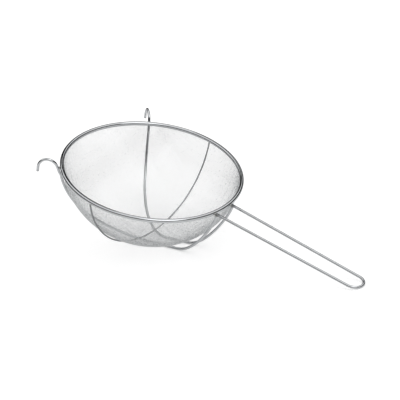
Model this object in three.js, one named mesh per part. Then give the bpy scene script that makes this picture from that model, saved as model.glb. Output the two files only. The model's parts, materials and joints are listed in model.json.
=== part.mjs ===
// Stainless steel bowl sieve with a wire loop handle and two pot hooks, resting on its feet.
// Millimetres, +Z up, handle along +X. The bowl is built level, with the rim's middle at the
// origin, and the finished sieve is then tilted until its feet and its handle end stand on z = 0.

import * as THREE from 'three';

// Rim: a strip of sheet rolled into a tube round the cloth's edge and a core wire.
const RIM_DIAMETER = 240;
const RIM_ROLL_DIAMETER = 5.6;
const RIM_ROLL_WALL = 0.6;
const RIM_CORE_DIAMETER = 1.8;
const RIM_FACETS = 68;
const RIM_ROLL_OUTER_STEPS = 12;
const RIM_ROLL_INNER_STEPS = 9;
const RIM_CORE_SIDES = 6;

// Bowl: square woven wire cloth pressed into the lower part of a flattened ball, whose curve would be
// widest some way above the rim, so that the wall leans out as it meets the rim.
const BOWL_DEPTH = 94;
const BOWL_FLARE = 15;
const CLOTH_WIRE_DIAMETER = 0.8;
const CLOTH_WIRES_PER_SIDE = 12;
const CLOTH_WIRE_SIDES = 4;

// Cross wire: a thin brace under the cloth, from rim to rim square to the handle, in a plane that
// leans towards the handle as it goes down.
const CROSS_WIRE_DIAMETER = 2;
const CROSS_WIRE_LEAN = THREE.MathUtils.degToRad(5);
const CROSS_WIRE_SIDES = 8;
const CROSS_WIRE_STEPS = 40;

// Frame wire: the stock that the handle, the two cradle wires and their hooks are bent from.
const FRAME_WIRE_DIAMETER = 3.6;
const FRAME_WIRE_SIDES = 10;

// Handle: one wire bent into a long loop, widths measured between the wire's centres.
const HANDLE_REACH = 335;
const HANDLE_WIDTH_AT_RIM = 32;
const HANDLE_WIDTH_AT_END = 26;
const HANDLE_BEND_STEPS = 14;

// Hooks: the far ends of the cradle wires, bent outwards over the rim. Each hook's plane is turned
// from straight out towards the handle's line.
const HOOK_ANGLE = THREE.MathUtils.degToRad(47.4);
const HOOK_TURN = THREE.MathUtils.degToRad(9);
const HOOK_START_DROP = 4;
const HOOK_RIM_LEAD = 4.5;
const HOOK_TOP_LEAD = 11;
const HOOK_HEIGHT = 9.8;
const HOOK_BEND_HEIGHT = 12.6;
const HOOK_REACH_TO_TOP = 15.7;
const HOOK_REACH_PAST_TOP = 11;
const HOOK_TIP_DROP = 6;
const HOOK_RISE_STEPS = 8;
const HOOK_FALL_STEPS = 6;

// Cradle: each wire hugs the cloth below its hook, turns to run beside the other one, makes a
// straight foot that stands clear of the cloth, and rises to the rim below the handle.
const CRADLE_HUG_STEPS = 14;
const CRADLE_RIM_EASE = 0.1;
const CRADLE_TURN_RADIUS = 80;
const CRADLE_TURN_STEPS = 12;
const CRADLE_TURN_LEAD = 35;
const CRADLE_FOOT_LEAD = 35;
const FOOT_START = 31;
const FOOT_LENGTH = 36;
const FOOT_SPACING = 21;
const FOOT_DAYLIGHT = 0.7;
const RISE_STEPS = 12;
const RISE_FOOT_LEAD = 31;
const RISE_RIM_LEAD = 10;

// Clearance left between pieces that are woven, welded or clamped together.
const GAP = 0.3;

// Sizes that follow from those above.
const rollRadius = RIM_ROLL_DIAMETER / 2;
const rollBore = rollRadius - RIM_ROLL_WALL;
const rimRadius = RIM_DIAMETER / 2 - rollRadius;
const bowlRise = BOWL_DEPTH + BOWL_FLARE;
const bowlRadius = rimRadius / Math.sqrt(1 - (BOWL_FLARE / bowlRise) ** 2);
const wallLean = Math.atan2(BOWL_FLARE * bowlRadius ** 2, rimRadius * bowlRise ** 2);
const coreRadius = RIM_CORE_DIAMETER / 2;
const coreHeight = rollBore - GAP - coreRadius;
const clothWireRadius = CLOTH_WIRE_DIAMETER / 2;
const weaveOffset = clothWireRadius + GAP / 2;
const clothHalf = weaveOffset + clothWireRadius;
const slotHalf = clothHalf + GAP;
const clothTop = coreHeight - coreRadius - GAP;
const crossRadius = CROSS_WIRE_DIAMETER / 2;
const frameRadius = FRAME_WIRE_DIAMETER / 2;
const hugOffset = clothHalf + GAP + frameRadius;
const rimOffset = rollRadius + GAP + frameRadius;
const footOffset = clothHalf + GAP + CROSS_WIRE_DIAMETER + GAP + FOOT_DAYLIGHT + frameRadius;

// A wire's route: points in order, with a section that is carried along without twist from the
// point where one of its flats is told which way to face.
class WireRoute extends THREE.Curve {
  constructor(points, facingIndex, facing) {
    super();
    this.points = points;
    this.facingIndex = facingIndex;
    this.facing = facing;
  }

  getSpacedPoints() {
    return this.points;
  }

  tangentAt(index) {
    const before = this.points[Math.max(index - 1, 0)];
    const after = this.points[Math.min(index + 1, this.points.length - 1)];
    return after.clone().sub(before).normalize();
  }

  computeFrenetFrames() {
    const tangents = this.points.map((point, index) => this.tangentAt(index));
    const normals = [];
    const square = (vector, tangent) => vector.clone().projectOnPlane(tangent).normalize();
    normals[this.facingIndex] = square(this.facing, tangents[this.facingIndex]);
    for (let i = this.facingIndex + 1; i < this.points.length; i += 1) {
      normals[i] = square(normals[i - 1], tangents[i]);
    }
    for (let i = this.facingIndex - 1; i >= 0; i -= 1) {
      normals[i] = square(normals[i + 1], tangents[i]);
    }
    const binormals = tangents.map((tangent, index) => tangent.clone().cross(normals[index]));
    return { tangents, normals, binormals };
  }
}

// A regular polygon whose flats, not its corners, face along its axes.
function polygonSection(radius, sides) {
  const corners = Array.from({ length: sides }, (unused, k) => {
    const angle = ((k + 0.5) * 2 * Math.PI) / sides;
    return new THREE.Vector2(radius * Math.cos(angle), radius * Math.sin(angle));
  });
  return new THREE.Shape(corners);
}

function wireGeometry(points, radius, sides, facingIndex, facing) {
  const extrudePath = new WireRoute(points, facingIndex, facing);
  return new THREE.ExtrudeGeometry(polygonSection(radius, sides), { steps: points.length - 1, extrudePath });
}

function ringGeometry(profile) {
  const closed = [...profile, profile[0].clone()];
  return new THREE.LatheGeometry(closed, RIM_FACETS).rotateX(Math.PI / 2);
}

function arcPoints(centre, radius, from, to, steps) {
  return Array.from({ length: steps + 1 }, (unused, k) => {
    const angle = THREE.MathUtils.lerp(from, to, k / steps);
    return new THREE.Vector2(centre.x + radius * Math.cos(angle), centre.y + radius * Math.sin(angle));
  });
}

// Bowl surface: the lower half of an ellipsoid, carried on upwards as a cylinder.
function bowlGradient(point) {
  return new THREE.Vector3(
    (2 * point.x) / bowlRadius ** 2,
    (2 * point.y) / bowlRadius ** 2,
    (2 * Math.min(point.z - BOWL_FLARE, 0)) / bowlRise ** 2,
  );
}

function bowlValue(point) {
  const level = Math.min(point.z - BOWL_FLARE, 0) / bowlRise;
  return (point.x ** 2 + point.y ** 2) / bowlRadius ** 2 + level ** 2 - 1;
}

// The bowl's section by angle, from 0 at the bottom to a quarter turn at its widest.
function sectionAngleAtHeight(height) {
  return Math.acos((BOWL_FLARE - height) / bowlRise);
}

function sectionAngleAtRadius(radius) {
  return Math.asin(radius / bowlRadius);
}

function offSection(angle, offset) {
  const surface = new THREE.Vector2(bowlRadius * Math.sin(angle), BOWL_FLARE - bowlRise * Math.cos(angle));
  const outward = new THREE.Vector2(Math.sin(angle) / bowlRadius, -Math.cos(angle) / bowlRise);
  return surface.addScaledVector(outward.normalize(), offset);
}

function bowlHeight(x, y) {
  return BOWL_FLARE - bowlRise * Math.sqrt(1 - (x ** 2 + y ** 2) / bowlRadius ** 2);
}

function sectionLength() {
  const slices = 400;
  const step = sectionAngleAtHeight(0) / slices;
  let length = 0;
  for (let k = 0; k < slices; k += 1) {
    const angle = (k + 0.5) * step;
    length += Math.hypot(bowlRadius * Math.cos(angle), bowlRise * Math.sin(angle)) * step;
  }
  return length;
}

// Rim

function makeRimRoll() {
  const centre = new THREE.Vector2(rimRadius, 0);
  const down = -Math.PI / 2 - wallLean;
  const outerLip = Math.asin(slotHalf / rollRadius);
  const innerLip = Math.asin(slotHalf / rollBore);
  const turn = 2 * Math.PI;
  const outside = arcPoints(centre, rollRadius, down + outerLip, down + turn - outerLip, RIM_ROLL_OUTER_STEPS);
  const inside = arcPoints(centre, rollBore, down + turn - innerLip, down + innerLip, RIM_ROLL_INNER_STEPS);
  return ringGeometry([...outside, ...inside]);
}

function makeRimCore() {
  const section = arcPoints(new THREE.Vector2(rimRadius, coreHeight), coreRadius, 0, 2 * Math.PI, RIM_CORE_SIDES);
  return ringGeometry(section.slice(0, -1));
}

// Woven cloth: a square net draped over the bowl, so that every mesh keeps its side lengths and
// only its corners' angles change, as pressed wire cloth does.

const clothPitch = sectionLength() / (CLOTH_WIRES_PER_SIDE + 0.5);
const NEWTON_STEPS = 12;

// The point on the bowl that meets two more conditions, found from a first guess.
function solveOnBowl(guess, conditions) {
  const point = guess.clone();
  for (let step = 0; step < NEWTON_STEPS; step += 1) {
    const gradient = bowlGradient(point);
    const rows = conditions.map((condition) => condition(point));
    const matrix = new THREE.Matrix3().set(
      gradient.x, gradient.y, gradient.z,
      rows[0].slope.x, rows[0].slope.y, rows[0].slope.z,
      rows[1].slope.x, rows[1].slope.y, rows[1].slope.z,
    );
    const miss = new THREE.Vector3(bowlValue(point), rows[0].value, rows[1].value);
    point.sub(miss.applyMatrix3(matrix.invert()));
  }
  return point;
}

function onePitchFrom(knot) {
  return (point) => ({
    value: point.distanceToSquared(knot) - clothPitch ** 2,
    slope: point.clone().sub(knot).multiplyScalar(2),
  });
}

function onPlane(normal) {
  return (point) => ({ value: point.dot(normal), slope: normal });
}

// Knots of one quarter of the net, by column and row; the other quarters mirror it.
function drapeQuarter(count) {
  const xAxis = new THREE.Vector3(1, 0, 0);
  const yAxis = new THREE.Vector3(0, 1, 0);
  const knots = [[new THREE.Vector3(0, 0, -BOWL_DEPTH)]];
  const ahead = (from, previous, start) => from.clone().add(previous ? from.clone().sub(previous) : start);
  for (let i = 1; i <= count; i += 1) {
    const guessX = ahead(knots[i - 1][0], knots[i - 2]?.[0], xAxis.clone().multiplyScalar(clothPitch));
    knots[i] = [solveOnBowl(guessX, [onePitchFrom(knots[i - 1][0]), onPlane(yAxis)])];
    const guessY = ahead(knots[0][i - 1], knots[0][i - 2], yAxis.clone().multiplyScalar(clothPitch));
    knots[0][i] = solveOnBowl(guessY, [onePitchFrom(knots[0][i - 1]), onPlane(xAxis)]);
  }
  for (let i = 1; i <= count; i += 1) {
    for (let j = 1; j <= count; j += 1) {
      const left = knots[i - 1][j];
      const below = knots[i][j - 1];
      if (!left || !below || (left.z > clothTop && below.z > clothTop)) {
        break;
      }
      const guess = left.clone().add(below).sub(knots[i - 1][j - 1]);
      knots[i][j] = solveOnBowl(guess, [onePitchFrom(left), onePitchFrom(below)]);
    }
  }
  return knots;
}

// A knot of the whole net, lifted to the side of the cloth on which this wire passes it.
function wovenKnot(knots, i, j, side) {
  const quarter = knots[Math.abs(i)]?.[Math.abs(j)];
  if (!quarter) {
    return null;
  }
  const knot = new THREE.Vector3(quarter.x * Math.sign(i), quarter.y * Math.sign(j), quarter.z);
  const over = (i + j) % 2 === 0 ? side : -side;
  return knot.addScaledVector(bowlGradient(knot).normalize(), over * weaveOffset);
}

// Half of a cloth wire, from its middle knot out to its cut end inside the rim.
function clothHalfWire(knotAt) {
  const points = [knotAt(0)];
  for (let k = 1; ; k += 1) {
    const last = points[points.length - 1];
    const next = knotAt(k);
    if (next.z > clothTop) {
      points.push(last.clone().lerp(next, (clothTop - last.z) / (next.z - last.z)));
      return points;
    }
    points.push(next);
  }
}

function makeClothWire(knotAt) {
  const forward = clothHalfWire(knotAt);
  const backward = clothHalfWire((k) => knotAt(-k)).slice(1).reverse();
  const points = [...backward, ...forward];
  const middle = backward.length;
  return wireGeometry(points, clothWireRadius, CLOTH_WIRE_SIDES, middle, bowlGradient(points[middle]));
}

// Cross wire

// The height at which the leaning plane of the cross wire meets the bowl, this far from the handle's line.
function crossHeight(y) {
  const lean = Math.tan(CROSS_WIRE_LEAN);
  const square = (lean / bowlRadius) ** 2 + 1 / bowlRise ** 2;
  const half = BOWL_FLARE / bowlRise ** 2;
  return (half - Math.sqrt(half ** 2 - square * bowlValue(new THREE.Vector3(0, y, 0)))) / square;
}

function makeCrossWire() {
  const offset = clothHalf + GAP + crossRadius;
  const endAngle = sectionAngleAtHeight(-(rollRadius + GAP));
  const endSide = bowlRadius * Math.sin(endAngle);
  const points = Array.from({ length: CROSS_WIRE_STEPS + 1 }, (unused, k) => {
    const angle = THREE.MathUtils.lerp(-endAngle, endAngle, k / CROSS_WIRE_STEPS);
    const y = (endSide * Math.sin(angle)) / Math.sin(endAngle);
    const height = crossHeight(y);
    const point = new THREE.Vector3(-height * Math.tan(CROSS_WIRE_LEAN), y, height);
    return point.addScaledVector(bowlGradient(point).normalize(), offset);
  });
  return wireGeometry(points, crossRadius, CROSS_WIRE_SIDES, 0, new THREE.Vector3(1, 0, 0));
}

// Resting line: the feet and the handle's end stand on it, and it sets the tilt.

const footSide = FOOT_SPACING / 2;
const footStart = new THREE.Vector3(FOOT_START, footSide, bowlHeight(FOOT_START, footSide) - footOffset);
const handleEnd = new THREE.Vector3(HANDLE_REACH - frameRadius, 0, 0);
const restTilt = Math.atan2(handleEnd.z - footStart.z, handleEnd.x - footStart.x);
const footRun = new THREE.Vector3(Math.cos(restTilt), 0, Math.sin(restTilt));
const floorNormal = new THREE.Vector3(-Math.sin(restTilt), 0, Math.cos(restTilt));

// Handle

function makeHandleLoop() {
  const bend = HANDLE_WIDTH_AT_END / 2;
  const side = HANDLE_WIDTH_AT_RIM / 2;
  const buttX = Math.sqrt((RIM_DIAMETER / 2 + GAP) ** 2 - (side - frameRadius) ** 2);
  const bendCentre = new THREE.Vector2(handleEnd.x - bend, 0);
  const bendPoints = arcPoints(bendCentre, bend, -Math.PI / 2, Math.PI / 2, HANDLE_BEND_STEPS);
  const points = [
    new THREE.Vector3(buttX, -side, 0),
    ...bendPoints.map((place) => new THREE.Vector3(place.x, place.y, 0)),
    new THREE.Vector3(buttX, side, 0),
  ];
  return wireGeometry(points, frameRadius, FRAME_WIRE_SIDES, 1 + HANDLE_BEND_STEPS / 2, floorNormal);
}

// Cradle wires, made for the +Y side and mirrored by the sign of side

function levelDirection(angle) {
  return new THREE.Vector3(-Math.cos(angle), Math.sin(angle), 0);
}

function hugPoints(outward) {
  const fromAngle = sectionAngleAtHeight(-HOOK_START_DROP);
  const toAngle = sectionAngleAtRadius(CRADLE_TURN_RADIUS);
  return Array.from({ length: CRADLE_HUG_STEPS + 1 }, (unused, k) => {
    const share = k / CRADLE_HUG_STEPS;
    const nearRim = 1 - THREE.MathUtils.smoothstep(share, 0, CRADLE_RIM_EASE);
    const offset = THREE.MathUtils.lerp(hugOffset, rimOffset, nearRim);
    const place = offSection(THREE.MathUtils.lerp(fromAngle, toAngle, share), offset);
    return outward.clone().multiplyScalar(place.x).setZ(place.y);
  });
}

function bezierPoints(start, startRun, startLead, end, endRun, endLead, steps) {
  const leaving = start.clone().addScaledVector(startRun, startLead);
  const arriving = end.clone().addScaledVector(endRun, -endLead);
  return new THREE.CubicBezierCurve3(start, leaving, arriving, end).getPoints(steps);
}

function hookPoints(atRim, rimRun) {
  const hookRun = levelDirection(HOOK_ANGLE - HOOK_TURN);
  const top = atRim.clone().addScaledVector(hookRun, HOOK_REACH_TO_TOP).setZ(HOOK_HEIGHT);
  const inward = hookRun.clone().negate();
  const rise = bezierPoints(top, inward, HOOK_TOP_LEAD, atRim, rimRun, HOOK_RIM_LEAD, HOOK_RISE_STEPS);
  const fall = arcPoints(new THREE.Vector2(), 1, 0, Math.PI / 2, HOOK_FALL_STEPS).map((place) => {
    const height = HOOK_HEIGHT - HOOK_BEND_HEIGHT * (1 - place.y);
    return top.clone().addScaledVector(hookRun, HOOK_REACH_PAST_TOP * place.x).setZ(height);
  });
  const tip = fall[0].clone().setZ(fall[0].z - HOOK_TIP_DROP);
  return [tip, ...fall, ...rise.slice(1)];
}

// The same point, or one moved straight out from the bowl until the wire there clears the cloth.
function clearOfCloth(point) {
  const moved = point.clone();
  for (let step = 0; step < NEWTON_STEPS; step += 1) {
    const gradient = bowlGradient(moved);
    const short = hugOffset - bowlValue(moved) / gradient.length();
    moved.addScaledVector(gradient.normalize(), Math.max(short, 0));
  }
  return moved;
}

function makeCradleWire(side) {
  const outward = levelDirection(HOOK_ANGLE);
  const hug = hugPoints(outward);
  const rimRun = hug[1].clone().sub(hug[0]).normalize();
  const hugEnd = hug[hug.length - 1];
  const hugRun = hugEnd.clone().sub(hug[hug.length - 2]).normalize();
  const turn = bezierPoints(hugEnd, hugRun, CRADLE_TURN_LEAD, footStart, footRun, CRADLE_FOOT_LEAD, CRADLE_TURN_STEPS);

  const footEnd = footStart.clone().addScaledVector(footRun, FOOT_LENGTH);
  const topSide = HANDLE_WIDTH_AT_RIM / 2;
  const topX = Math.sqrt((rimRadius + rimOffset) ** 2 - topSide ** 2);
  const top = new THREE.Vector3(topX, topSide, -(frameRadius + GAP));
  const up = new THREE.Vector3(0, 0, 1);
  const rise = bezierPoints(footEnd, footRun, RISE_FOOT_LEAD, top, up, RISE_RIM_LEAD, RISE_STEPS);

  const beforeFoot = [...hookPoints(hug[0], rimRun), ...hug.slice(1), ...turn.slice(1).map(clearOfCloth)];
  const points = [...beforeFoot, ...rise.map(clearOfCloth)].map((point) => point.setY(point.y * side));
  return wireGeometry(points, frameRadius, FRAME_WIRE_SIDES, beforeFoot.length, floorNormal);
}

// Finishes

const polished = { color: 0xcfd1d2, metalness: 1, roughness: 0.16 };
const drawn = { color: 0xc6c8ca, metalness: 1, roughness: 0.24 };
const cloth = { color: 0xd4d6d7, metalness: 1, roughness: 0.3 };

function addPiece(group, name, geometry, finish) {
  const piece = new THREE.Mesh(geometry, new THREE.MeshStandardMaterial(finish));
  piece.name = name;
  group.add(piece);
}

// Assembly

const sieve = new THREE.Group();
addPiece(sieve, 'rim_roll', makeRimRoll(), polished);
addPiece(sieve, 'rim_core_wire', makeRimCore(), drawn);
addPiece(sieve, 'cross_wire', makeCrossWire(), drawn);
addPiece(sieve, 'handle_loop', makeHandleLoop(), polished);
addPiece(sieve, 'cradle_wire_right', makeCradleWire(-1), polished);
addPiece(sieve, 'cradle_wire_left', makeCradleWire(1), polished);

const knots = drapeQuarter(CLOTH_WIRES_PER_SIDE + 2);
for (let i = -CLOTH_WIRES_PER_SIDE; i <= CLOTH_WIRES_PER_SIDE; i += 1) {
  const number = String(i + CLOTH_WIRES_PER_SIDE + 1).padStart(2, '0');
  addPiece(sieve, `warp_wire_${number}`, makeClothWire((k) => wovenKnot(knots, k, i, 1)), cloth);
  addPiece(sieve, `weft_wire_${number}`, makeClothWire((k) => wovenKnot(knots, i, k, -1)), cloth);
}

// Stand it on the floor, with the origin below the middle of its box.
sieve.rotation.y = restTilt;
const box = new THREE.Box3().setFromObject(sieve, true);
const middle = box.getCenter(new THREE.Vector3());
sieve.position.set(-middle.x, -middle.y, -box.min.z);

export default sieve;
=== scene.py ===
"""Looks of a stainless steel bowl sieve with a wire loop handle and two pot hooks.

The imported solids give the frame. The coarse woven wires are replaced by fine cloth, the faceted
wires and rim by round ones on the same routes, and the welds that hold them are added.
"""

import json
import logging
import math
from dataclasses import dataclass, field
from enum import Enum
from typing import Any, Callable, Iterable, Sequence

import bmesh
import bpy
import numpy as np
from mathutils import Matrix, Vector

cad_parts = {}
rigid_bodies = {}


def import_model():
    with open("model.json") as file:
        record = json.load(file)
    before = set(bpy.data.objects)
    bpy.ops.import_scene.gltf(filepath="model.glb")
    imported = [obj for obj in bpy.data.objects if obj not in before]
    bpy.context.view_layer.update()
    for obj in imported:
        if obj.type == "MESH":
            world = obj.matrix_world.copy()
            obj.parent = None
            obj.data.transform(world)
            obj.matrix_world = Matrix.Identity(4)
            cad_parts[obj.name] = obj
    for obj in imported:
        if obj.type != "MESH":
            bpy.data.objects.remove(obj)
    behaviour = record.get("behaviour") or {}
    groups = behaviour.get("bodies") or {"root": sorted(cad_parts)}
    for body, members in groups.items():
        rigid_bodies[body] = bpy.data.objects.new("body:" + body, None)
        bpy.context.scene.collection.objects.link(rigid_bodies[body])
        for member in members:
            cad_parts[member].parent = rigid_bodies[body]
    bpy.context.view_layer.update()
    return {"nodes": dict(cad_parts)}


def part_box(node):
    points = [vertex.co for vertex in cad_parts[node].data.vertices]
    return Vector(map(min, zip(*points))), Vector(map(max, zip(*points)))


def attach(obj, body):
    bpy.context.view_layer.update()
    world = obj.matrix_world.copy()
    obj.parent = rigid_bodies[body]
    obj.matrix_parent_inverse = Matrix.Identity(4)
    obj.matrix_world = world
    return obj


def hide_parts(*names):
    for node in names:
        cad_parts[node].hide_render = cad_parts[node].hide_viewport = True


log = logging.getLogger("sieve")

MM = 0.001
# Corners of a wire's mesh nearer than this share of its radius are one corner.
MERGE_SHARE = 0.01
# Bevel resolutions: a drawn wire's section has 4 sides and 2 more for each step.
SQUARE_BEVEL = 0
THIN_BEVEL = 4
FRAME_BEVEL = 6
# Gives values to bring to 0, and their slopes, for rows of points.
Condition = Callable[[np.ndarray], tuple[np.ndarray, np.ndarray]]


def linear(hex_colour: str) -> tuple[float, float, float, float]:
    """Turn an sRGB hex colour into linear RGBA.

    Args:
        hex_colour: six hex digits.

    Returns:
        The linear colour with full opacity.
    """
    channels = [int(hex_colour[k : k + 2], 16) / 255 for k in (0, 2, 4)]
    lin = [c / 12.92 if c <= 0.04045 else ((c + 0.055) / 1.055) ** 2.4 for c in channels]
    return (lin[0], lin[1], lin[2], 1.0)


def per_metre(feature_mm: float) -> float:
    """Texture scale that gives features of the stated size in millimetres."""
    return 1.0 / (feature_mm * MM)


def add_node(
    tree: bpy.types.NodeTree,
    kind: str,
    settings: dict[str, Any] | None = None,
    inputs: dict[str | int, Any] | None = None,
) -> bpy.types.Node:
    """Add one node with its settings, socket values and incoming links.

    Args:
        tree: node tree that gets the node.
        kind: the node's type name.
        settings: attributes of the node itself.
        inputs: value or source socket for each named or numbered input.

    Returns:
        The new node.
    """
    node = tree.nodes.new(kind)
    for name, value in (settings or {}).items():
        setattr(node, name, value)
    for name, value in (inputs or {}).items():
        if isinstance(value, bpy.types.NodeSocket):
            tree.links.new(value, node.inputs[name])
        else:
            node.inputs[name].default_value = value
    return node


@dataclass(frozen=True)
class SteelFinish:
    """One way in which the stainless steel's surface was made."""

    name: str
    colour: str
    shade_colour: str
    roughness: float
    roughness_spread: float
    cloud_mm: float
    grain_mm: tuple[float, float, float]
    grain_depth_mm: float
    cloud_detail: float = 3.0
    grain_detail: float = 2.0

    def material(self) -> bpy.types.Material:
        """Make the finish as a node material.

        Returns:
            The material, named for the steel and its surface.
        """
        made = bpy.data.materials.new(self.name)
        made.use_nodes = True
        tree = made.node_tree
        shader = tree.nodes["Principled BSDF"]
        shader.inputs["Metallic"].default_value = 1.0
        place = add_node(tree, "ShaderNodeTexCoord").outputs["Object"]
        clouds = add_node(
            tree,
            "ShaderNodeTexNoise",
            inputs={
                "Vector": place,
                "Scale": per_metre(self.cloud_mm),
                "Detail": self.cloud_detail,
            },
        ).outputs["Fac"]
        tint = add_node(tree, "ShaderNodeMix", {"data_type": "RGBA"}, {"Factor": clouds})
        tint.inputs["A"].default_value = linear(self.shade_colour)
        tint.inputs["B"].default_value = linear(self.colour)
        tree.links.new(tint.outputs["Result"], shader.inputs["Base Color"])
        stretch = [per_metre(size) for size in self.grain_mm]
        lines = add_node(tree, "ShaderNodeMapping", inputs={"Vector": place, "Scale": stretch})
        grain = add_node(
            tree,
            "ShaderNodeTexNoise",
            inputs={"Vector": lines.outputs["Vector"], "Scale": 1.0, "Detail": self.grain_detail},
        ).outputs["Fac"]
        rough = add_node(
            tree,
            "ShaderNodeMapRange",
            inputs={
                "Value": grain,
                "To Min": self.roughness - self.roughness_spread,
                "To Max": self.roughness + self.roughness_spread,
            },
        ).outputs["Result"]
        tree.links.new(rough, shader.inputs["Roughness"])
        bump = add_node(
            tree,
            "ShaderNodeBump",
            inputs={"Height": grain, "Strength": 1.0, "Distance": self.grain_depth_mm * MM},
        )
        tree.links.new(bump.outputs["Normal"], shader.inputs["Normal"])
        return made


class Steel(Enum):
    """The sieve's finishes."""

    # Stainless strip, rolled and buffed: a clear mirror with faint buffing lines round the rim.
    ROLLED_SHEET = SteelFinish(
        name="stainless_sheet_rolled_buffed",
        colour="D4D6D8",
        shade_colour="C2C4C6",
        roughness=0.06,
        roughness_spread=0.03,
        cloud_mm=14.0,
        grain_mm=(6.0, 6.0, 0.5),
        grain_depth_mm=0.004,
    )
    # Stainless wire, drawn and electropolished: bright, with slight waves left by the die.
    DRAWN_WIRE = SteelFinish(
        name="stainless_wire_electropolished",
        colour="D4D6D8",
        shade_colour="C2C4C6",
        roughness=0.1,
        roughness_spread=0.04,
        cloud_mm=9.0,
        grain_mm=(2.2, 2.2, 2.2),
        grain_depth_mm=0.004,
    )
    # Thin stainless wire straight from the die: greyer and duller than the polished frame.
    THIN_WIRE = SteelFinish(
        name="stainless_wire_drawn",
        colour="96989A",
        shade_colour="86888A",
        roughness=0.26,
        roughness_spread=0.07,
        cloud_mm=7.0,
        grain_mm=(1.4, 1.4, 1.4),
        grain_depth_mm=0.01,
    )
    # Plain woven stainless cloth: each thread glints along its length. The die's own marks are
    # too fine to show, so the clouds are drawn several threads wide.
    WOVEN_CLOTH = SteelFinish(
        name="stainless_cloth_plain_woven",
        colour="F2F3F4",
        shade_colour="E2E4E5",
        roughness=0.28,
        roughness_spread=0.08,
        cloud_mm=12.0,
        grain_mm=(3.0, 3.0, 3.0),
        grain_depth_mm=0.002,
    )
    # Resistance welds: grey, slightly pitted metal with a faint straw tint from the heat.
    WELD = SteelFinish(
        name="stainless_weld_heat_tinted",
        colour="C0C0BE",
        shade_colour="A8A6A2",
        roughness=0.3,
        roughness_spread=0.12,
        cloud_mm=1.6,
        grain_mm=(0.5, 0.5, 0.5),
        grain_depth_mm=0.05,
    )


class FinishRack:
    """Makes each finish once and hands it out."""

    def __init__(self) -> None:
        """Start with no material made."""
        self._made: dict[Steel, bpy.types.Material] = {}

    def get(self, steel: Steel) -> bpy.types.Material:
        """Give the material of one finish.

        Args:
            steel: the finish wanted.

        Returns:
            Its material, made at the first call.
        """
        if steel not in self._made:
            self._made[steel] = steel.value.material()
        return self._made[steel]


@dataclass(frozen=True)
class RestingPlace:
    """Where the level bowl's frame stands once the sieve rests on its feet and handle end."""

    rim_centre: Vector
    tilt_deg: float = 17.5886

    def matrix(self) -> Matrix:
        """Turn and shift from the bowl's frame in millimetres to the floor's in metres."""
        turn = Matrix.Rotation(math.radians(self.tilt_deg), 4, "Y")
        return Matrix.Translation(self.rim_centre) @ turn @ Matrix.Scale(MM, 4)


@dataclass(frozen=True)
class BowlForm:
    """The bowl's middle surface, in millimetres.

    It is the lower part of a flattened ball that is widest above the rim.
    """

    rim_radius: float = 117.2
    depth: float = 94.0
    flare: float = 15.0
    clearing_rounds: int = 8
    length_samples: int = 400

    @property
    def rise(self) -> float:
        """Height of the ball's lower half."""
        return self.depth + self.flare

    @property
    def radius(self) -> float:
        """The ball's greatest radius."""
        return self.rim_radius / math.sqrt(1 - (self.flare / self.rise) ** 2)

    @property
    def wall_lean(self) -> float:
        """Angle at which the wall leans out as it meets the rim."""
        return math.atan2(self.flare * self.radius**2, self.rim_radius * self.rise**2)

    def gradient(self, points: np.ndarray) -> np.ndarray:
        """Outward slope of the bowl's equation at each point."""
        level = np.minimum(points[..., 2] - self.flare, 0)
        scale = np.array([self.radius, self.radius, self.rise])
        return 2 * np.stack([points[..., 0], points[..., 1], level], -1) / scale**2

    def value(self, points: np.ndarray) -> np.ndarray:
        """The bowl's equation at each point: 0 on the surface."""
        radial = (points[..., 0] ** 2 + points[..., 1] ** 2) / self.radius**2
        return radial + (np.minimum(points[..., 2] - self.flare, 0) / self.rise) ** 2 - 1

    def angle_at_height(self, height: float) -> float:
        """Angle along the bowl's section, 0 at the bottom, where the surface has a height."""
        return math.acos((self.flare - height) / self.rise)

    def angle_at_radius(self, radius: float) -> float:
        """Angle along the bowl's section where the surface has a radius."""
        return math.asin(radius / self.radius)

    def off_section(self, angle: float, offset: float) -> tuple[float, float]:
        """A point off half the bowl's section.

        Args:
            angle: 0 at the bottom, a quarter turn at the ball's widest.
            offset: distance outwards from the surface.

        Returns:
            Distance from the axis and height.
        """
        slope = Vector((math.sin(angle) / self.radius, -math.cos(angle) / self.rise)).normalized()
        return (
            self.radius * math.sin(angle) + slope.x * offset,
            self.flare - self.rise * math.cos(angle) + slope.y * offset,
        )

    def height(self, x: float, y: float) -> float:
        """Height of the surface above or below a point of the rim's plane."""
        return self.flare - self.rise * math.sqrt(1 - (x * x + y * y) / self.radius**2)

    def clear_of(self, points: np.ndarray, offset: float) -> np.ndarray:
        """Points moved straight out from the bowl where they are nearer to it than an offset."""
        moved = points.copy()
        for _ in range(self.clearing_rounds):
            slope = self.gradient(moved)
            steep = np.linalg.norm(slope, axis=-1)
            short = np.maximum(offset - self.value(moved) / steep, 0)
            moved += slope * (short / steep)[:, None]
        return moved

    def section_length(self) -> float:
        """Length along the surface from the bottom to the rim."""
        end = self.angle_at_height(0)
        angles = (np.arange(self.length_samples) + 0.5) / self.length_samples * end
        speeds = np.hypot(self.radius * np.cos(angles), self.rise * np.sin(angles))
        return float(speeds.mean() * end)


@dataclass(frozen=True)
class FrameSizes:
    """Sizes that the sieve's parts share, in millimetres."""

    roll_radius: float = 2.8
    frame_wire_radius: float = 1.8
    cross_wire_radius: float = 1.0
    cloth_half: float = 0.95
    gap: float = 0.3
    handle_width_at_rim: float = 32.0

    @property
    def rim_offset(self) -> float:
        """From the rim's centre line to that of a frame wire beside it."""
        return self.roll_radius + self.gap + self.frame_wire_radius


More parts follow.
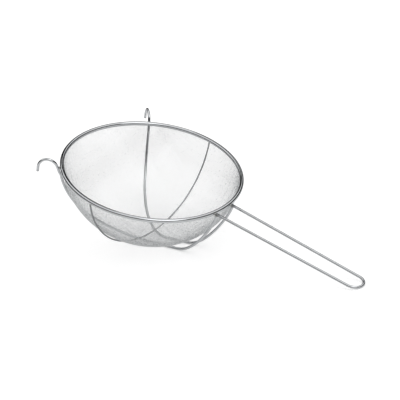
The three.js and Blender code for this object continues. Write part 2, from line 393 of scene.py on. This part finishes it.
@dataclass
class Workshop:
    """What every sub-assembly needs: the bowl's form, shared sizes, resting place and finishes."""

    place: RestingPlace
    finishes: FinishRack
    bowl: BowlForm = field(default_factory=BowlForm)
    sizes: FrameSizes = field(default_factory=FrameSizes)

    def deliver(
        self, mesh: bpy.types.Mesh, name: str, steel: Steel, slot: str, nodes: Iterable[str]
    ) -> None:
        """Put a finished mesh in place, dress it and hang it on the sieve's body.

        Args:
            mesh: mesh in the bowl's frame, in millimetres.
            name: the piece's name.
            steel: its finish.
            slot: material slot of the record; not used.
            nodes: solids that it stands for.
        """
        mesh.name = name
        mesh.transform(self.place.matrix())
        mesh.materials.clear()
        mesh.materials.append(self.finishes.get(steel))
        piece = bpy.data.objects.new(name, mesh)
        bpy.context.scene.collection.objects.link(piece)
        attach(piece, "root")
        stands_for = list(nodes)
        if stands_for:
            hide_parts(*stands_for)
        log.info("%s: %d faces, stands for %d solids", name, len(mesh.polygons), len(stands_for))


def wire_mesh(routes: Iterable[np.ndarray], radius: float, resolution: int) -> bpy.types.Mesh:
    """Draw round wire along each route.

    Args:
        routes: point rows of each wire.
        radius: the wire's radius.
        resolution: bevel resolution of its section.

    Returns:
        One mesh of closed wires with smooth sides, flat ends and faces outwards.
    """
    curve = bpy.data.curves.new("wire_route", "CURVE")
    curve.dimensions = "3D"
    curve.twist_mode = "MINIMUM"
    curve.bevel_depth = radius
    curve.bevel_resolution = resolution
    curve.use_fill_caps = True
    for route in routes:
        spline = curve.splines.new("POLY")
        spline.points.add(len(route) - 1)
        spline.points.foreach_set("co", np.column_stack([route, np.ones(len(route))]).ravel())
    holder = bpy.data.objects.new("wire_route", curve)
    bpy.context.scene.collection.objects.link(holder)
    graph = bpy.context.evaluated_depsgraph_get()
    mesh = bpy.data.meshes.new_from_object(holder.evaluated_get(graph))
    bpy.data.objects.remove(holder)
    bpy.data.curves.remove(curve)
    shaped = bmesh.new()
    shaped.from_mesh(mesh)
    bmesh.ops.remove_doubles(shaped, verts=shaped.verts, dist=radius * MERGE_SHARE)
    bmesh.ops.recalc_face_normals(shaped, faces=shaped.faces)
    for face in shaped.faces:
        # The sides have four corners, and the flat ends are filled with triangles.
        face.smooth = len(face.verts) == 4
    shaped.to_mesh(mesh)
    shaped.free()
    return mesh


def bezier(start: Vector, leaving: Vector, arriving: Vector, end: Vector, steps: int) -> np.ndarray:
    """Points of a cubic curve through two ends and their control points."""
    t = np.linspace(0, 1, steps + 1)[:, None]
    corners = [np.array(p) for p in (start, leaving, arriving, end)]
    weights = [(1 - t) ** 3, 3 * t * (1 - t) ** 2, 3 * t**2 * (1 - t), t**3]
    return sum(w * c for w, c in zip(weights, corners))


@dataclass
class RolledRim:
    """The rim: sheet rolled to a tube that is open below, where the cloth goes in."""

    shop: Workshop
    wall: float = 0.6
    slot_half: float = 0.75
    arc_steps: int = 28
    turn_steps: int = 192
    merge_distance: float = 0.001

    def section(self) -> list[Vector]:
        """The roll's section as a closed row of corners."""
        sizes = self.shop.sizes
        bore = sizes.roll_radius - self.wall
        down = -math.pi / 2 - self.shop.bowl.wall_lean
        corners: list[Vector] = []
        for radius, way in ((sizes.roll_radius, 1), (bore, -1)):
            lip = math.asin(self.slot_half / radius)
            angles = np.linspace(down + lip, down + 2 * math.pi - lip, self.arc_steps)[::way]
            middle = self.shop.bowl.rim_radius
            corners += [
                Vector((middle + radius * math.cos(a), 0, radius * math.sin(a))) for a in angles
            ]
        return corners

    def build(self) -> None:
        """Spin the section round the bowl's axis and deliver the rim."""
        shaped = bmesh.new()
        corners = [shaped.verts.new(corner) for corner in self.section()]
        edges = [shaped.edges.new((a, b)) for a, b in zip(corners, corners[1:] + corners[:1])]
        bmesh.ops.spin(
            shaped,
            geom=corners + edges,
            cent=(0, 0, 0),
            axis=(0, 0, 1),
            angle=2 * math.pi,
            steps=self.turn_steps,
            use_merge=True,
        )
        bmesh.ops.remove_doubles(shaped, verts=shaped.verts, dist=self.merge_distance)
        bmesh.ops.recalc_face_normals(shaped, faces=shaped.faces)
        mesh = bpy.data.meshes.new("rim")
        shaped.to_mesh(mesh)
        shaped.free()
        mesh.shade_smooth()
        self.shop.deliver(mesh, "rim", Steel.ROLLED_SHEET, "rim_steel", ["rim_roll"])


class ClothWay(Enum):
    """The two ways in which the cloth's wires run."""

    WARP = "warp"
    WEFT = "weft"


@dataclass
class WovenCloth:
    """Square woven cloth pressed into the bowl, so that its meshes shear but keep their sides."""

    shop: Workshop
    pitch_wanted: float = 1.8
    wire_radius: float = 0.15
    top: float = -0.2
    newton_steps: int = 8
    knots_past_rim: int = 3
    solids_per_way: int = 25

    def __post_init__(self) -> None:
        """Set how many wires lie on each side of the middle one, and their pitch."""
        length = self.shop.bowl.section_length()
        self.per_side = round(length / self.pitch_wanted - 0.5)
        self.pitch = length / (self.per_side + 0.5)

    def on_bowl(self, guess: np.ndarray, conditions: Sequence[Condition]) -> np.ndarray:
        """Move guessed points until they lie on the bowl and meet two more conditions.

        Args:
            guess: rows of first guesses.
            conditions: the two that hold besides the bowl.

        Returns:
            Rows of solved points.
        """
        points = guess.copy()
        for _ in range(self.newton_steps):
            pairs = [condition(points) for condition in conditions]
            values = np.stack([self.shop.bowl.value(points)] + [value for value, _ in pairs], -1)
            slopes = np.stack([self.shop.bowl.gradient(points)] + [slope for _, slope in pairs], -2)
            points = points - np.linalg.solve(slopes, values[..., None])[..., 0]
        return points

    def one_pitch_from(self, knots: np.ndarray) -> Condition:
        """Condition that a point is one pitch away from its knot."""
        return lambda p: (((p - knots) ** 2).sum(-1) - self.pitch**2, 2 * (p - knots))

    def on_axis_plane(self, axis: int) -> Condition:
        """Condition that a point lies in the plane through the bowl's axis, square to an axis."""
        slope = np.eye(3)[axis]
        return lambda p: (p[..., axis], np.broadcast_to(slope, p.shape))

    def drape(self) -> np.ndarray:
        """Knots of one quarter of the net, by column and row, with gaps where the net has ended."""
        count = self.per_side + self.knots_past_rim
        knots = np.full((count + 1, count + 1, 3), np.nan)
        knots[0, 0] = (0, 0, -self.shop.bowl.depth)
        step = np.array([self.pitch, 0, 0])
        for k in range(1, count + 1):
            guess = knots[k - 1, 0] + (step if k == 1 else knots[k - 1, 0] - knots[k - 2, 0])
            conditions = [self.one_pitch_from(knots[k - 1, 0]), self.on_axis_plane(1)]
            knots[k, 0] = self.on_bowl(guess[None], conditions)[0]
            knots[0, k] = knots[k, 0][[1, 0, 2]]
        for diagonal in range(2, 2 * count + 1):
            i = np.arange(max(1, diagonal - count), min(count, diagonal - 1) + 1)
            j = diagonal - i
            left, below = knots[i - 1, j], knots[i, j - 1]
            keep = ~((left[:, 2] > self.top) & (below[:, 2] > self.top))
            keep &= ~np.isnan(left[:, 0]) & ~np.isnan(below[:, 0])
            i, j, left, below = i[keep], j[keep], left[keep], below[keep]
            if len(i):
                guess = left + below - knots[i - 1, j - 1]
                conditions = [self.one_pitch_from(left), self.one_pitch_from(below)]
                knots[i, j] = self.on_bowl(guess, conditions)
        return knots

    def half_wire(self, quarter: np.ndarray, line: int, way: ClothWay, side: int) -> np.ndarray:
        """Half of one wire, from its middle knot to its end inside the rim.

        Args:
            quarter: knots of one quarter of the net.
            line: the wire's number, 0 for the middle one.
            way: warp or weft.
            side: 1 or -1, the direction in which it leaves the middle.

        Returns:
            The wire's points, woven over and under.
        """
        row = quarter[:, abs(line)] if way is ClothWay.WARP else quarter[abs(line), :]
        row = row[~np.isnan(row[:, 0])]
        above = np.argmax(row[:, 2] > self.top)
        row = row[: above + 1]
        share = (self.top - row[-2, 2]) / (row[-1, 2] - row[-2, 2])
        row = np.vstack([row[:-1], row[-2] + share * (row[-1] - row[-2])])
        along, across = (side, np.sign(line)) if way is ClothWay.WARP else (np.sign(line), side)
        row = row * np.array([along if along else 1, across if across else 1, 1])
        over = np.where((np.arange(len(row)) + line) % 2 == 0, 1, -1)
        over = over if way is ClothWay.WARP else -over
        outward = self.shop.bowl.gradient(row)
        outward /= np.linalg.norm(outward, axis=-1, keepdims=True)
        return row + outward * (over * self.wire_radius)[:, None]

    def build(self) -> None:
        """Weave both ways of the cloth and deliver them."""
        quarter = self.drape()
        for way in ClothWay:
            routes = []
            for line in range(-self.per_side, self.per_side + 1):
                back, ahead = (self.half_wire(quarter, line, way, side) for side in (-1, 1))
                routes.append(np.vstack([back[:0:-1], ahead]))
            mesh = wire_mesh(routes, self.wire_radius, SQUARE_BEVEL)
            solids = [f"{way.value}_wire_{n:02d}" for n in range(1, self.solids_per_way + 1)]
            name = f"cloth_{way.value}"
            self.shop.deliver(mesh, name, Steel.WOVEN_CLOTH, "cloth_steel", solids)


@dataclass
class CrossWire:
    """The thin brace under the cloth, from rim to rim, leaning towards the handle."""

    shop: Workshop
    lean_deg: float = 5.0
    steps: int = 120

    def height(self, side: float) -> float:
        """Height where the wire's leaning plane meets the bowl, this far from the handle's line."""
        bowl, lean = self.shop.bowl, math.tan(math.radians(self.lean_deg))
        square = (lean / bowl.radius) ** 2 + 1 / bowl.rise**2
        half = bowl.flare / bowl.rise**2
        level = float(bowl.value(np.array([0.0, side, 0.0])))
        return (half - math.sqrt(half**2 - square * level)) / square

    def route(self) -> np.ndarray:
        """The wire's centre line."""
        bowl, sizes = self.shop.bowl, self.shop.sizes
        offset = sizes.cloth_half + sizes.gap + sizes.cross_wire_radius
        end = bowl.angle_at_height(-(sizes.roll_radius + sizes.gap))
        sides = bowl.radius * np.sin(np.linspace(-end, end, self.steps + 1))
        heights = np.array([self.height(side) for side in sides])
        points = np.column_stack([-heights * math.tan(math.radians(self.lean_deg)), sides, heights])
        slope = bowl.gradient(points)
        return points + slope / np.linalg.norm(slope, axis=-1, keepdims=True) * offset

    def build(self) -> None:
        """Draw the wire and deliver it."""
        mesh = wire_mesh([self.route()], self.shop.sizes.cross_wire_radius, THIN_BEVEL)
        self.shop.deliver(mesh, "cross_brace", Steel.THIN_WIRE, "cross_wire_steel", ["cross_wire"])


@dataclass
class HandleLoop:
    """One frame wire bent into a long loop that butts against the rim."""

    shop: Workshop
    reach: float = 335.0
    width_at_end: float = 26.0
    bend_steps: int = 48
    leg_steps: int = 12

    def butt_x(self) -> float:
        """How far from the bowl's axis the legs start, along the handle."""
        sizes = self.shop.sizes
        side = sizes.handle_width_at_rim / 2 - sizes.frame_wire_radius
        return math.sqrt((self.shop.bowl.rim_radius + sizes.roll_radius + sizes.gap) ** 2 - side**2)

    def route(self) -> np.ndarray:
        """The wire's centre line, from one leg round the bend to the other."""
        sizes = self.shop.sizes
        bend, side = self.width_at_end / 2, sizes.handle_width_at_rim / 2
        centre = self.reach - sizes.frame_wire_radius - bend
        angles = np.linspace(-math.pi / 2, math.pi / 2, self.bend_steps + 1)
        arc = np.column_stack([centre + bend * np.cos(angles), bend * np.sin(angles), 0 * angles])
        shares = np.linspace(0, 1, self.leg_steps, endpoint=False)[:, None]
        first = np.array([self.butt_x(), -side, 0])
        leg = first + shares * (arc[0] - first)
        return np.vstack([leg, arc, (leg * [1, -1, 1])[::-1]])

    def build(self) -> None:
        """Draw the loop and deliver it."""
        mesh = wire_mesh([self.route()], self.shop.sizes.frame_wire_radius, FRAME_BEVEL)
        self.shop.deliver(mesh, "handle", Steel.DRAWN_WIRE, "frame_wire_steel", ["handle_loop"])


class Side(Enum):
    """Which side of the handle's line a cradle wire lies on."""

    RIGHT = -1
    LEFT = 1


@dataclass
class CradleWire:
    """One frame wire that cradles the bowl, with sizes in millimetres.

    It has a pot hook, a stretch that hugs the cloth, a foot, and a rise to the handle.
    """

    shop: Workshop
    side: Side
    hook_angle_deg: float = 47.4
    hook_turn_deg: float = 9.0
    hook_start_drop: float = 4.0
    hook_rim_lead: float = 4.5
    hook_top_lead: float = 11.0
    hook_height: float = 9.8
    hook_bend_height: float = 12.6
    hook_reach_to_top: float = 15.7
    hook_reach_past_top: float = 11.0
    hook_tip_drop: float = 6.0
    rim_ease: float = 0.1
    turn_radius: float = 80.0
    turn_lead: float = 35.0
    foot_lead: float = 35.0
    foot_start: float = 31.0
    foot_length: float = 36.0
    foot_spacing: float = 21.0
    foot_daylight: float = 0.7
    rise_foot_lead: float = 31.0
    rise_rim_lead: float = 10.0
    steps: int = 48
    hook_steps: int = 16

    def outward(self, turn_deg: float = 0.0) -> Vector:
        """Level direction from the bowl's axis to the left hook.

        Args:
            turn_deg: turn towards the handle's line.

        Returns:
            A vector of length 1.
        """
        angle = math.radians(self.hook_angle_deg - turn_deg)
        return Vector((-math.cos(angle), math.sin(angle), 0))

    def hook(self, hug: np.ndarray) -> np.ndarray:
        """The hook's centre line, from its tip over the arch to the rim.

        Args:
            hug: the stretch that follows it down the cloth.

        Returns:
            The hook's points, of which the last is the stretch's first.
        """
        run = self.outward(self.hook_turn_deg)
        at_rim = Vector(hug[0])
        down = (Vector(hug[1]) - at_rim).normalized()
        top = at_rim + run * self.hook_reach_to_top
        top.z = self.hook_height
        inward, upward = top - run * self.hook_top_lead, at_rim - down * self.hook_rim_lead
        rise = bezier(top, inward, upward, at_rim, self.hook_steps)
        angles = np.linspace(0, math.pi / 2, self.hook_steps + 1)
        drops = self.hook_bend_height * (1 - np.sin(angles))
        outs = self.hook_reach_past_top * np.cos(angles)
        fall = [top + run * out - Vector((0, 0, drop)) for out, drop in zip(outs, drops)]
        tip = fall[0] - Vector((0, 0, self.hook_tip_drop))
        return np.vstack([[tip], fall, rise[1:]])

    def hug(self) -> np.ndarray:
        """The stretch that runs down the outside of the cloth."""
        bowl, sizes = self.shop.bowl, self.shop.sizes
        from_angle = bowl.angle_at_height(-self.hook_start_drop)
        to_angle = bowl.angle_at_radius(self.turn_radius)
        close = sizes.cloth_half + sizes.gap + sizes.frame_wire_radius
        points = []
        for share in np.linspace(0, 1, self.steps + 1):
            ease = min(share / self.rim_ease, 1)
            near_rim = 1 - ease * ease * (3 - 2 * ease)
            offset = close + (sizes.rim_offset - close) * near_rim
            out, height = bowl.off_section(from_angle + (to_angle - from_angle) * share, offset)
            points.append(self.outward() * out + Vector((0, 0, height)))
        return np.array(points)

    def foot_point(self) -> Vector:
        """Where the foot's straight stretch starts."""
        sizes, half = self.shop.sizes, self.foot_spacing / 2
        below = sizes.cloth_half + 2 * sizes.gap + 2 * sizes.cross_wire_radius
        below += self.foot_daylight + sizes.frame_wire_radius
        return Vector((self.foot_start, half, self.shop.bowl.height(self.foot_start, half) - below))

    def route(self) -> np.ndarray:
        """The wire's whole centre line."""
        sizes = self.shop.sizes
        tilt = math.radians(self.shop.place.tilt_deg)
        run = Vector((math.cos(tilt), 0, math.sin(tilt)))
        hug = self.hug()
        end = Vector(hug[-1])
        along = (end - Vector(hug[-2])).normalized()
        foot = self.foot_point()
        leaving, arriving = end + along * self.turn_lead, foot - run * self.foot_lead
        turn = bezier(end, leaving, arriving, foot, self.steps)
        heel = foot + run * self.foot_length
        half = sizes.handle_width_at_rim / 2
        top_x = math.sqrt((self.shop.bowl.rim_radius + sizes.rim_offset) ** 2 - half**2)
        top = Vector((top_x, half, -(sizes.frame_wire_radius + sizes.gap)))
        leaving = heel + run * self.rise_foot_lead
        arriving = top - Vector((0, 0, self.rise_rim_lead))
        rise = bezier(heel, leaving, arriving, top, self.steps)
        close = sizes.cloth_half + sizes.gap + sizes.frame_wire_radius
        below = self.shop.bowl.clear_of(np.vstack([turn[1:], rise]), close)
        return np.vstack([self.hook(hug), hug[1:], below]) * [1, self.side.value, 1]

    def build(self) -> None:
        """Draw the wire and deliver it."""
        name = self.side.name.lower()
        mesh = wire_mesh([self.route()], self.shop.sizes.frame_wire_radius, FRAME_BEVEL)
        solids = [f"cradle_wire_{name}"]
        self.shop.deliver(mesh, f"cradle_{name}", Steel.DRAWN_WIRE, "frame_wire_steel", solids)


@dataclass(frozen=True)
class BeadForm:
    """How far a bead lies from the point that it joins, and its half sizes, in millimetres."""

    shift: tuple[float, float, float]
    half: tuple[float, float, float]

    def at(self, point: Sequence[float]) -> Matrix:
        """Shift and stretch that turn a ball of radius 1 into the bead at a point."""
        middle = Vector(point) + Vector(self.shift)
        return Matrix.Translation(middle) @ Matrix.Diagonal((*self.half, 1))


class Bead(Enum):
    """The welds that show."""

    # Where a leg of the handle butts against the rim.
    HANDLE = BeadForm((-0.2, 0.0, -0.2), (1.5, 2.25, 1.98))
    # Where a cradle wire ends between the rim and the handle's leg.
    CRADLE = BeadForm((-0.6, 0.0, 0.2), (1.9, 1.98, 1.3))
    # Where a hook's wire passes the rim.
    HOOK = BeadForm((0.0, 0.0, -0.6), (1.2, 1.2, 2.4))
    # Where the cross wire ends below the rim.
    CROSS = BeadForm((0.0, 0.0, 0.1), (1.5, 1.4, 1.0))


@dataclass
class Welds:
    """Small beads of weld metal where wires meet the rim and each other."""

    shop: Workshop
    handle: HandleLoop
    cradles: Sequence[CradleWire]
    cross: CrossWire
    subdivisions: int = 3

    def beads(self) -> list[Matrix]:
        """Place and form of every bead."""
        sizes = self.shop.sizes
        found: list[Matrix] = []
        for cradle in self.cradles:
            side = cradle.side.value
            leg = (self.handle.butt_x(), side * sizes.handle_width_at_rim / 2, 0.0)
            beside_rim = self.shop.bowl.rim_radius + sizes.roll_radius + sizes.gap / 2
            out = cradle.outward() * beside_rim
            found.append(Bead.HANDLE.value.at(leg))
            found.append(Bead.CRADLE.value.at(cradle.route()[-1]))
            found.append(Bead.HOOK.value.at((out.x, out.y * side, 0.0)))
        found += [Bead.CROSS.value.at(end) for end in self.cross.route()[[0, -1]]]
        return found

    def build(self) -> None:
        """Shape the beads as one piece and deliver them."""
        shaped = bmesh.new()
        for matrix in self.beads():
            bmesh.ops.create_icosphere(
                shaped, subdivisions=self.subdivisions, radius=1.0, matrix=matrix
            )
        mesh = bpy.data.meshes.new("welds")
        shaped.to_mesh(mesh)
        shaped.free()
        mesh.shade_smooth()
        self.shop.deliver(mesh, "weld_beads", Steel.WELD, "frame_wire_steel", [])


def heading(azimuth_deg: float, elevation_deg: float = 0.0) -> Vector:
    """Direction away from the sieve.

    Args:
        azimuth_deg: direction round the sieve, as for views.
        elevation_deg: height above the horizon.

    Returns:
        A vector of length 1.
    """
    a, e = math.radians(azimuth_deg), math.radians(elevation_deg)
    return Vector((math.sin(a) * math.cos(e), -math.cos(a) * math.cos(e), math.sin(e)))


def facing(away: Vector) -> Matrix:
    """Turn of a camera or lamp that looks back along a direction."""
    return (-away).to_track_quat("-Z", "Y").to_matrix().to_4x4()


@dataclass(frozen=True)
class Softbox:
    """One soft light that faces the sieve, with its size in metres."""

    name: str
    azimuth_deg: float
    elevation_deg: float
    size: tuple[float, float]
    watts: float
    mirrored: bool


@dataclass(frozen=True)
class DarkWall:
    """A stretch of wall round the sieve, between two azimuths, with its height in metres."""

    name: str
    from_deg: float
    to_deg: float
    height: float


@dataclass(frozen=True)
class Studio:
    """A pale floor, soft light, dark walls that the steel mirrors, and the photograph's camera.

    Lengths are in metres, apart from the lens and its sensor.
    """

    azimuth_deg: float = 41.864
    elevation_deg: float = 21.807
    roll_deg: float = 7.084
    distance: float = 2.0281
    target: tuple[float, float, float] = (-0.01927, -0.00806, 0.07714)
    lens_mm: float = 144.0
    sensor_mm: float = 36.0
    sky_light: float = 0.7
    sky_seen: float = 1.0
    floor_half: float = 6.0
    floor_colour: str = "E0E0E0"
    floor_glow: float = 0.45
    floor_far_glow: float = 1.0
    floor_glow_from: tuple[float, float] = (0.5, 1.2)
    floor_mirror_glow: float = 0.16
    wall_colour: str = "161718"
    wall_radius: float = 2.6
    wall_steps: int = 32
    walls: tuple[DarkWall, ...] = (
        DarkWall("back_wall", 205.0, 242.0, 10.0),
        DarkWall("low_wall", 0.0, 360.0, 1.8),
    )
    lamp_distance: float = 3.0
    lamps: tuple[Softbox, ...] = (
        # Hidden in the steel, or the tops of the wires would be as white as the background.
        Softbox("overhead_softbox", 175.0, 78.0, (2.3, 2.0), 12.0, mirrored=False),
        Softbox("front_softbox", 75.0, 48.0, (1.9, 1.5), 14.0, mirrored=True),
    )

    def camera(self) -> None:
        """Place the camera at the photograph's angle."""
        back = heading(self.azimuth_deg, self.elevation_deg)
        data = bpy.data.cameras.new("camera")
        data.lens = self.lens_mm
        data.sensor_width = self.sensor_mm
        camera = bpy.data.objects.new("camera", data)
        roll = Matrix.Rotation(-math.radians(self.roll_deg), 4, "Z")
        place = Matrix.Translation(Vector(self.target) + back * self.distance)
        camera.matrix_world = place @ facing(back) @ roll
        bpy.context.scene.collection.objects.link(camera)
        bpy.context.scene.camera = camera

    def world(self) -> None:
        """White to the eye and in the steel, softer as light."""
        world = bpy.data.worlds.new("studio")
        world.use_nodes = True
        tree = world.node_tree
        tree.nodes.clear()
        rays = add_node(tree, "ShaderNodeLightPath").outputs
        seen = rays["Is Camera Ray"]
        for other in ("Is Glossy Ray", "Is Transmission Ray"):
            either = add_node(
                tree, "ShaderNodeMath", {"operation": "MAXIMUM"}, {0: seen, 1: rays[other]}
            )
            seen = either.outputs[0]
        strength = add_node(
            tree,
            "ShaderNodeMapRange",
            inputs={"Value": seen, "To Min": self.sky_light, "To Max": self.sky_seen},
        )
        sky = add_node(
            tree, "ShaderNodeBackground", inputs={"Strength": strength.outputs["Result"]}
        )
        sky.inputs["Color"].default_value = (1, 1, 1, 1)
        add_node(tree, "ShaderNodeOutputWorld", inputs={"Surface": sky.outputs["Background"]})
        bpy.context.scene.world = world

    def paper(self) -> bpy.types.Material:
        """Make the floor's material.

        Its glow rises away from the sieve, so that it meets the white background without an edge.

        Returns:
            White paper that glows to the eye, and a little in the steel.
        """
        material = bpy.data.materials.new("pale_paper_floor")
        material.use_nodes = True
        tree = material.node_tree
        tree.nodes.clear()
        paper = add_node(
            tree, "ShaderNodeBsdfDiffuse", inputs={"Color": linear(self.floor_colour)}
        )
        rays = add_node(tree, "ShaderNodeLightPath").outputs
        place = add_node(tree, "ShaderNodeTexCoord").outputs["Object"]
        away = add_node(tree, "ShaderNodeVectorMath", {"operation": "LENGTH"}, {0: place})
        near, far = self.floor_glow_from
        glows = add_node(
            tree,
            "ShaderNodeMapRange",
            inputs={
                "Value": away.outputs["Value"],
                "From Min": near,
                "From Max": far,
                "To Min": self.floor_glow,
                "To Max": self.floor_far_glow,
            },
        )
        seen = add_node(
            tree,
            "ShaderNodeMath",
            {"operation": "MULTIPLY"},
            {0: rays["Is Camera Ray"], 1: glows.outputs["Result"]},
        )
        mirrored = add_node(
            tree,
            "ShaderNodeMath",
            {"operation": "MULTIPLY_ADD"},
            {0: rays["Is Glossy Ray"], 1: self.floor_mirror_glow, 2: seen.outputs[0]},
        )
        glow = add_node(tree, "ShaderNodeEmission", inputs={"Strength": mirrored.outputs[0]})
        both = add_node(
            tree, "ShaderNodeAddShader", inputs={0: paper.outputs[0], 1: glow.outputs[0]}
        )
        add_node(tree, "ShaderNodeOutputMaterial", inputs={"Surface": both.outputs[0]})
        return material

    def floor(self) -> None:
        """A large pale floor that is white to the eye except where the sieve shades it."""
        mesh = bpy.data.meshes.new("floor")
        shaped = bmesh.new()
        bmesh.ops.create_grid(shaped, x_segments=1, y_segments=1, size=self.floor_half)
        shaped.to_mesh(mesh)
        shaped.free()
        mesh.materials.append(self.paper())
        floor = bpy.data.objects.new("floor", mesh)
        bpy.context.scene.collection.objects.link(floor)

    def hang(self, box: Softbox) -> None:
        """Hang one lamp where it faces the sieve."""
        away = heading(box.azimuth_deg, box.elevation_deg)
        data = bpy.data.lights.new(box.name, "AREA")
        data.shape = "RECTANGLE"
        data.size, data.size_y = box.size
        data.energy = box.watts
        lamp = bpy.data.objects.new(box.name, data)
        lamp.matrix_world = Matrix.Translation(away * self.lamp_distance) @ facing(away)
        lamp.visible_glossy = box.mirrored
        bpy.context.scene.collection.objects.link(lamp)

    def dark_paint(self) -> bpy.types.Material:
        """Make the walls' material: dull, near black."""
        material = bpy.data.materials.new("dark_studio_wall")
        material.use_nodes = True
        shader = material.node_tree.nodes["Principled BSDF"]
        shader.inputs["Base Color"].default_value = linear(self.wall_colour)
        shader.inputs["Roughness"].default_value = 1.0
        return material

    def stand(self, stretch: DarkWall, paint: bpy.types.Material) -> None:
        """Stand one wall, seen only as dark lines in the steel.

        Args:
            stretch: its name, azimuths and height.
            paint: its material.
        """
        foot = heading(stretch.from_deg) * self.wall_radius
        shaped = bmesh.new()
        corners = [shaped.verts.new(foot), shaped.verts.new(foot + Vector((0, 0, stretch.height)))]
        edge = shaped.edges.new(corners)
        bmesh.ops.spin(
            shaped,
            geom=[*corners, edge],
            cent=(0, 0, 0),
            axis=(0, 0, 1),
            angle=math.radians(stretch.to_deg - stretch.from_deg),
            steps=self.wall_steps,
        )
        mesh = bpy.data.meshes.new(stretch.name)
        shaped.to_mesh(mesh)
        shaped.free()
        mesh.materials.append(paint)
        wall = bpy.data.objects.new(stretch.name, mesh)
        wall.visible_camera = False
        wall.visible_diffuse = False
        wall.visible_shadow = False
        bpy.context.scene.collection.objects.link(wall)

    def build(self) -> None:
        """Set up camera, floor and light."""
        bpy.context.scene.view_settings.view_transform = "Standard"
        self.camera()
        self.world()
        self.floor()
        paint = self.dark_paint()
        for stretch in self.walls:
            self.stand(stretch, paint)
        for box in self.lamps:
            self.hang(box)


def main() -> None:
    """Build the sieve's sub-assemblies in order, then the studio."""
    logging.basicConfig(level=logging.INFO, format="%(name)s: %(message)s")
    for old in list(bpy.data.objects):
        bpy.data.objects.remove(old)
    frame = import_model()
    low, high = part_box("rim_roll")
    finishes = FinishRack()
    shop = Workshop(RestingPlace((low + high) / 2), finishes)
    handle, cross = HandleLoop(shop), CrossWire(shop)
    cradles = [CradleWire(shop, side) for side in Side]
    RolledRim(shop).build()
    WovenCloth(shop).build()
    cross.build()
    handle.build()
    for cradle in cradles:
        cradle.build()
    Welds(shop, handle, cradles, cross).build()
    core = frame["nodes"]["rim_core_wire"]
    core.data.materials.clear()
    core.data.materials.append(finishes.get(Steel.THIN_WIRE))
    Studio().build()


if __name__ == "__main__":
    main()
